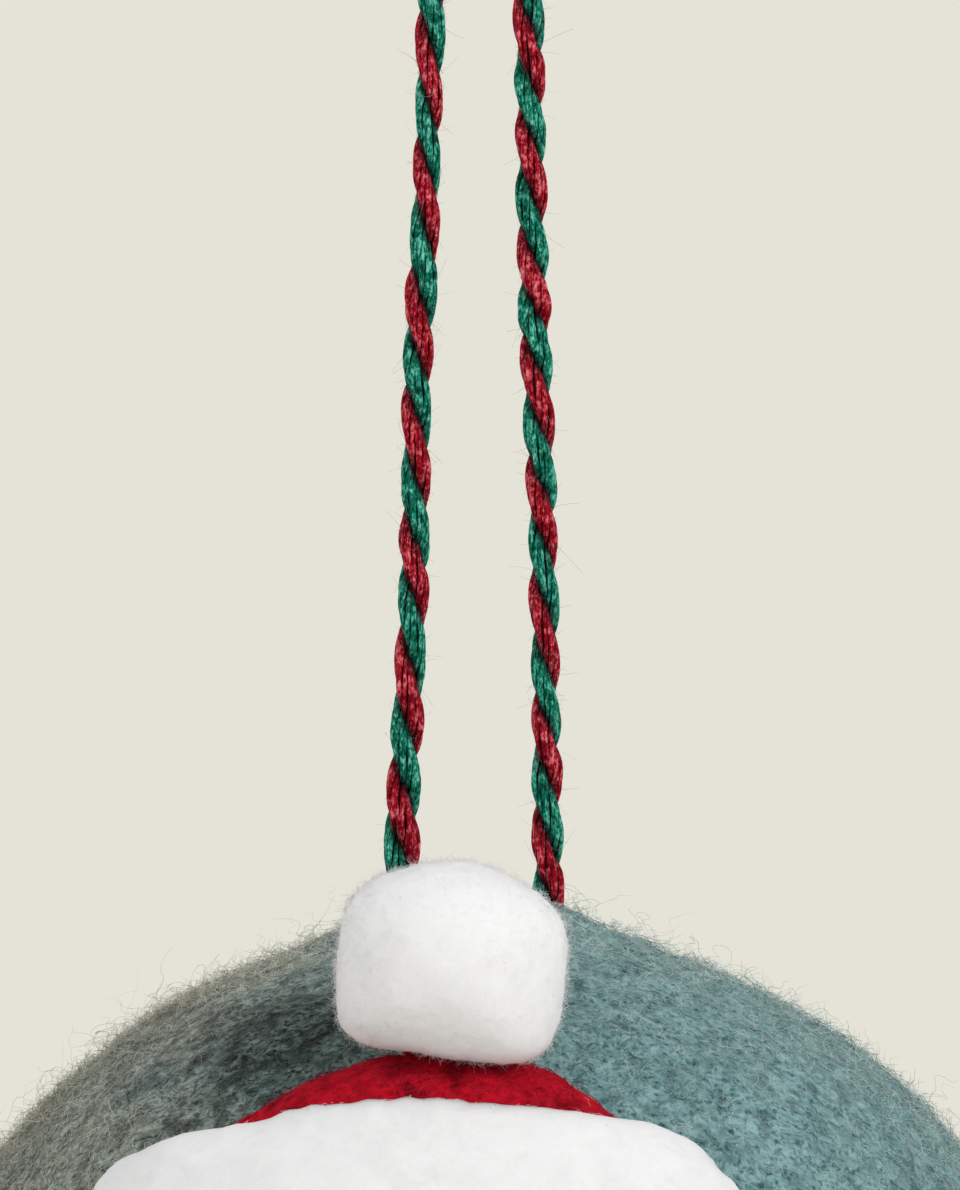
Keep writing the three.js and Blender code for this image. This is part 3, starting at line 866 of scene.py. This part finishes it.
# Where the ball's fibres lie thicker or thinner: how many times, where that starts and over what
# distance, in millimetres from the ball's centre
MORE_ABOVE, ABOVE_START, ABOVE_OVER = 7, 8, 14
MORE_LEFT, LEFT_START, LEFT_OVER = 2.5, 4, 16
MORE_ON_CREST, CREST_LEAST, CREST_WIDTH = 2.5, 0.5, 9
# Fewer fibres where the pompom's shadow is painted, so that it stays dark
FEWER_IN_POMPOM_SHADOW, POMPOM_SHADOW_WIDTH = 0.75, 8


def make_ball():
    ball = rounded_cube("felt_ball", 124)
    units = vertices_of(ball)
    set_vertices(ball, BALL_CENTRE + units * felt_radius(units)[:, None])
    ball.data.materials.append(GREEN_FELT)
    dress(ball, "felt_shell", "ball")

    def above(points):
        away = np.linalg.norm(points - POMPOM_SHADOW_PLACE, axis=1)
        sparse = 1 - FEWER_IN_POMPOM_SHADOW * np.exp(-((away / POMPOM_SHADOW_WIDTH) ** 2))
        high = np.clip((points[:, 2] - BALL_CENTRE_Z - ABOVE_START) / ABOVE_OVER, 0, 1)
        return (1 + MORE_ABOVE * high) * sparse

    def left(points):
        return above(points) * (1 + MORE_LEFT * np.clip(-(points[:, 0] + LEFT_START) / LEFT_OVER, 0, 1))

    def crest(points):
        on_crest = np.exp(-(((points[:, 1] - BALL_SETBACK) / CREST_WIDTH) ** 2))
        return left(points) * (CREST_LEAST + MORE_ON_CREST * on_crest)

    for k in range(2):
        hair = fur(f"ball_fibres_{k + 1}", ball, GREEN_FIBRE, 4500, (2, 5), (0.025, 0.045), (0.05, 0.4),
                   curl=4.2, crimp=1.3, steps=8, weight=left, free=0.1)
        hair.visible_shadow = k == 0
        hair_on(hair, "ball")
    short, long = (9500, (0.4, 1.5), (0.08, 0.5), 4), (5000, (1.2, 3.2), (0.2, 0.8), 7)
    for k, (count, length, rise, steps) in enumerate((short, short, long)):
        hair = fur(f"ball_halo_{k + 1}", ball, PALE_FIBRE, count, length, (0.024, 0.04), rise,
                   curl=3.6, crimp=1.3, steps=steps, weight=crest, free=0.5)
        hair.visible_shadow = steps > 4
        hair_on(hair, "ball")
    hair = fur("ball_flyaways", ball, PALE_FIBRE, 600, (3, 8), (0.02, 0.03), (0.5, 2.0), curl=4.5,
               crimp=1.1, steps=21, weight=crest, free=0.3)
    hair_on(hair, "ball")


make_ball()


# Relief pieces on the ball, with the outlines of the part's source, as azimuth and elevation in degrees
def closed_outline(half, count):
    """Evenly spaced points on a smooth closed outline, from its right half or from all of it."""
    mirrored = half[-1][0] == 0
    points = half + [(-a, e) for a, e in half[-2:0:-1]] if mirrored else half
    ring = [(a, e, 0) for a, e in points]
    wrapped = spline(ring[-2:] + ring + ring[:2], 0.2)
    start = np.argmin(np.linalg.norm(wrapped[:len(wrapped) // 3] - ring[0], axis=1))
    end = len(wrapped) // 2 + np.argmin(np.linalg.norm(wrapped[len(wrapped) // 2:] - ring[0], axis=1))
    loop = wrapped[start:end, :2]
    reach = along(loop)
    return sampled(np.linspace(0, reach[-1], count, endpoint=False), reach, loop)


def towards(azimuth, elevation):
    """The way from the ball's centre to a place on it, given in degrees."""
    a, e = np.radians(azimuth), np.radians(elevation)
    return np.stack([np.sin(a) * np.cos(e), -np.cos(a) * np.cos(e), np.sin(e)], axis=-1)


# Lumps of a relief piece's face and of its ragged edge, as (depth, size, seed)
RELIEF_LUMPS = ((0.14, 4, 31), (0.1, 1.8, 32), (0.06, 0.8, 33))
RAGGED_LUMPS = ((1, 1.6, 21), (0.8, 0.8, 22))
RELIEF_SINK = 0.3


def relief(name, centre, outline, height, material, ragged=0.0, fatness=3, segments=200, rings=72,
           bumpy=1.0):
    """A pillow of felt on the ball, from a round ball whose equator becomes the piece's outline.

    It stands height millimetres off the ball, fuller towards its edge where fatness is higher. ragged is
    how far its edge strays in millimetres, and bumpy how lumpy its face is.
    """
    bpy.ops.mesh.primitive_uv_sphere_add(segments=segments, ring_count=rings, radius=1)
    piece = take_new(name)
    sort_faces(piece)
    points = vertices_of(piece) * MM
    centre = np.array(centre, float)
    edge = closed_outline(outline, 720)
    around = np.arctan2(edge[:, 1] - centre[1], edge[:, 0] - centre[0])
    order = np.argsort(around)
    around, edge = around[order], edge[order]
    angle = np.arctan2(points[:, 1], points[:, 0])
    three_rounds = np.concatenate((around - 2 * math.pi, around, around + 2 * math.pi))
    rim = sampled(angle, three_rounds, np.tile(edge, (3, 1)))
    share = np.minimum(np.linalg.norm(points[:, :2], axis=1), 1)
    where = centre + (rim - centre) * share[:, None]
    spots = towards(where[:, 0], where[:, 1]) * BALL_RADIUS
    if ragged:
        loose = ragged * lumpy(spots, RAGGED_LUMPS) * share**6
        away = np.linalg.norm(rim - centre, axis=1)
        strayed = share * (1 + np.degrees(loose / BALL_RADIUS) / away)
        where = centre + (rim - centre) * strayed[:, None]
        spots = towards(where[:, 0], where[:, 1]) * BALL_RADIUS
    swell = height * np.sqrt(np.maximum(1 - share**fatness, 0))
    front = points[:, 2] >= 0
    bulge = lumpy(spots, RELIEF_LUMPS)
    face = swell + bumpy * bulge * np.sqrt(np.maximum(1 - share**4, 0))
    radius = BALL_RADIUS + np.where(front, face, -RELIEF_SINK)
    set_vertices(piece, BALL_CENTRE + towards(where[:, 0], where[:, 1]) * radius[:, None])
    piece.data.materials.append(material)
    return piece


BRIM_OUTLINE = [
    (0, 44.35), (9, 43.95), (17, 43), (25, 41.9), (30.5, 41.1), (34.7, 39.3), (37.3, 36.2), (38.5, 32),
    (36.8, 27), (31, 23.8), (20, 25), (10, 26.8), (0, 27.6), (-10, 26.8), (-20, 25), (-31, 23.8),
    (-37.4, 27), (-38.9, 32), (-37.7, 35.3), (-34.8, 37.6), (-30, 39), (-23, 40.5), (-15, 42.25),
    (-8, 43.7),
]
BEARD_HALF = [(0, 30), (14, 29.5), (24, 27), (30.5, 21.5), (33.5, 13), (33.5, 3), (30.5, -7), (25, -17),
              (18, -26), (9, -33.5), (0, -37)]
CROWN_OUTLINE = [
    (-23.5, 40.3), (-20.5, 43.6), (-16, 46.6), (-10.5, 48.9), (-4, 50.8), (4, 52.2), (12, 51), (19, 48.4),
    (23.6, 45.1), (26.6, 42.1), (27, 39), (16, 34.5), (3, 33), (-10, 34.5),
]


def make_hat():
    crown = relief("felt_hat_crown", (3, 40.5), CROWN_OUTLINE, 2.75, RED_FELT, ragged=0.3)
    dress(crown, "hat_crown", "ball")
    hair_on(fur("crown_fibres", crown, RED_FIBRE, 2600, (0.6, 2.2), (0.03, 0.05), (0.02, 0.25), curl=1.6,
                steps=5, free=0.3, soft=True), "ball")
    brim = relief("felt_hat_brim", (0, 34.6), BRIM_OUTLINE, 3.4, WHITE_FELT, ragged=0.7, fatness=6,
                  segments=320, rings=64, bumpy=1.7)
    dress(brim, "hat_brim", "ball")
    hair_on(fur("brim_fibres", brim, WHITE_DOWN, 4500, (0.2, 0.5), (0.02, 0.03), (0.02, 0.1), curl=2.6,
                steps=4, free=0.3, soft=True), "ball")
    return crown


def make_beard():
    beard = relief("felt_beard", (0, 2), BEARD_HALF, 4, WHITE_FELT, ragged=0.5)
    dress(beard, "beard", "ball")

    def down(points):
        return np.tile(np.array([0.0, 0.0, -1.0]), (len(points), 1))

    hair_on(fur("beard_fibres", beard, WHITE_FIBRE, 3300, (3, 9), (0.04, 0.08), (0.05, 0.6), curl=0.7,
                steps=7, flow=down, free=0.15), "ball")


HAT_CROWN = make_hat()
make_beard()


# Pompom and nose
# Lumps of the pompom and the nose, as (depth, size, seed)
BLOCK_LUMPS = ((0.22, 3.6, 41), (0.15, 1.7, 42), (0.12, 0.9, 43), (0.08, 0.5, 44))


def block(name, subdivisions, half, power, centre, material, rough=1.0, lean=0):
    """A ball of felt or yarn with half sizes in millimetres, leaning lean degrees over to the right.

    It is squarer than a true ball where power, at its foot, its middle and its top, is above 2. rough is
    how deep its lumps are.
    """
    bpy.ops.mesh.primitive_ico_sphere_add(subdivisions=subdivisions, radius=1)
    piece = take_new(name)
    units = unit(vertices_of(piece))
    power = np.interp(units[:, 2], (-1, 0, 0.8), power)
    square = (np.abs(units[:, 0]) ** power + np.abs(units[:, 2]) ** power) ** (2 / power)
    points = units / np.sqrt(square + units[:, 1] ** 2)[:, None] * np.array(half)
    outward = unit(units / np.array(half))
    points = points + outward * rough * lumpy(points, BLOCK_LUMPS)[:, None]
    c, s = math.cos(math.radians(lean)), math.sin(math.radians(lean))
    x, y, z = points.T
    turned = np.stack([c * x + s * z, y, c * z - s * x], axis=1)
    set_vertices(piece, np.array(centre) + turned)
    piece.data.materials.append(material)
    return piece


# The pompom from the ball's centre, and the nose's place, as elevation in degrees and distance
POMPOM_CENTRE = np.array([2.65, -29.2, 37.75])
POMPOM_HALF = (7.3, 6.7, 6.3)
POMPOM_POWERS = (4.8, 3.2, 2.05)
POMPOM_LEAN = 7
PRESSED_GAP = 1.45
NOSE_ELEVATION = 20.5
NOSE_DISTANCE = 45.2
NOSE_HALF = (5.1, 4.8, 4.5)
ROUND = (2, 2, 2)


def press_on(piece, below, gap):
    """Flattens a soft piece where it leans on the surface below it, as seen from the ball's centre."""
    tree = surface_of(below)
    points = vertices_of(piece)
    outward = unit(points - BALL_CENTRE)
    far = 2 * BALL_RADIUS
    for k, way in enumerate(outward):
        hit = tree.ray_cast(Vector(BALL_CENTRE + way * far), Vector(-way))[3]
        if hit is not None:
            least = far - hit + gap
            if np.linalg.norm(points[k] - BALL_CENTRE) < least:
                points[k] = BALL_CENTRE + way * least
    set_vertices(piece, points)


def make_pompom():
    pompom = block("pompom_pile", 6, POMPOM_HALF, POMPOM_POWERS, BALL_CENTRE + POMPOM_CENTRE, POMPOM_PILE,
                   rough=0.55, lean=POMPOM_LEAN)
    press_on(pompom, HAT_CROWN, PRESSED_GAP)
    dress(pompom, "pompom", "pompom")
    hair_on(fur("pompom_fibres", pompom, WHITE_DOWN, 8500, (0.4, 1.1), (0.012, 0.02), (0.08, 0.4),
                curl=3.2, steps=4, free=0.35, soft=True), "pompom")


def make_nose():
    at = BALL_CENTRE + towards(0, NOSE_ELEVATION) * NOSE_DISTANCE
    nose = block("felt_nose", 5, NOSE_HALF, ROUND, at, NOSE_FELT)
    dress(nose, "nose", "ball")
    hair_on(fur("nose_fibres", nose, NOSE_FIBRE, 1200, (0.8, 2.4), (0.03, 0.05), (0.02, 0.2), curl=1.2,
                steps=5, free=0.1), "ball")


make_pompom()
make_nose()


# Inside
# Foam beads about 3 mm across
BEAD_SCALE = 330.0


def foam():
    """Expanded polystyrene, moulded: pale beads pressed together, with a fine grey dent between them."""
    material, tree = blank_material("expanded_polystyrene")
    place = add(tree, "TexCoord").outputs["Object"]
    beads = add(tree, "TexVoronoi", {"Vector": place, "Scale": BEAD_SCALE})
    edge = add(tree, "MapRange", {
        "Value": beads.outputs["Distance"], "From Min": 0.35, "From Max": 0.75}).outputs[0]
    pale, dent = colour("F8F8F6"), colour("E3E3E0")
    shade = add(tree, "Mix", {0: edge, 6: pale, 7: dent}, data_type="RGBA").outputs[2]
    bump = add(tree, "Bump", {"Strength": 0.4, "Distance": 0.3 * MM, "Height": edge}, invert=True)
    shader = add(tree, "BsdfPrincipled", {
        "Base Color": shade, "Roughness": 0.55, "Normal": bump.outputs["Normal"]})
    add(tree, "OutputMaterial", {"Surface": shader.outputs[0]})
    return material


def finish_inside():
    """Gives the nodes that stay as they are inside the ball their own materials."""
    finishes = {
        "foam_core": foam(),
        "cord_end_left": CORD_COTTON,
        "cord_end_right": CORD_COTTON,
        "cord_knot": CORD_COTTON,
        "pompom_stitch": WHITE_FIBRE,
    }
    for name, material in finishes.items():
        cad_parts[name].data.materials.clear()
        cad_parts[name].data.materials.append(material)


finish_inside()


# Light, backdrop and floor
def make_world():
    """Plain soft light, and the paper's colour for what the camera sees straight or in a gloss."""
    world = bpy.data.worlds.new("studio")
    bpy.context.scene.world = world
    world.use_nodes = True
    tree = world.node_tree
    tree.nodes.clear()
    light = add(tree, "Background", {"Color": colour("F6F6F6"), "Strength": 0.5})
    paper = add(tree, "Background", {"Color": colour(PAPER), "Strength": 1.0})
    path = add(tree, "LightPath")
    seen = path.outputs["Is Camera Ray"]
    for kind in ("Is Glossy Ray", "Is Transmission Ray"):
        seen = add(tree, "Math", {0: seen, 1: path.outputs[kind]}, operation="MAXIMUM").outputs[0]
    both = add(tree, "MixShader", {0: seen, 1: light.outputs[0], 2: paper.outputs[0]})
    add(tree, "OutputWorld", {"Surface": both.outputs[0]})


def make_lamp(name, place, size, power):
    """A soft square lamp at a place and of a size in metres, pointing at the ball, with power in watts."""
    data = bpy.data.lights.new(name, "AREA")
    data.shape = "SQUARE"
    data.size = size
    data.energy = power
    lamp = bpy.data.objects.new(name, data)
    bpy.context.scene.collection.objects.link(lamp)
    target = Vector(BALL_CENTRE * MM)
    lamp.location = target + Vector(place)
    lamp.rotation_euler = (-Vector(place)).to_track_quat("-Z", "Y").to_euler()


FLOOR_BELOW = 62
FLOOR_RADIUS = 0.32


def make_floor():
    """A disc of matt pale paper that takes the ornament's soft shadow."""
    bpy.ops.mesh.primitive_circle_add(vertices=96, radius=FLOOR_RADIUS, fill_type="NGON",
                                      location=(0, 0, (BALL_CENTRE_Z - FLOOR_BELOW) * MM))
    floor = bpy.context.object
    floor.name = "studio_floor"
    bpy.ops.object.select_all(action="DESELECT")
    material, tree = blank_material("pale_floor_paper")
    shader = add(tree, "BsdfPrincipled", {
        "Base Color": colour(PAPER), "Roughness": 0.9, "Specular IOR Level": 0.1})
    add(tree, "OutputMaterial", {"Surface": shader.outputs[0]})
    floor.data.materials.append(material)


make_world()
make_lamp("key_lamp", (0.78, -0.52, 0.36), 0.34, 4.6)
make_lamp("fill_lamp", (-0.5, -0.7, 0.52), 0.8, 3.4)
make_floor()
bpy.context.scene.view_settings.view_transform = "Standard"
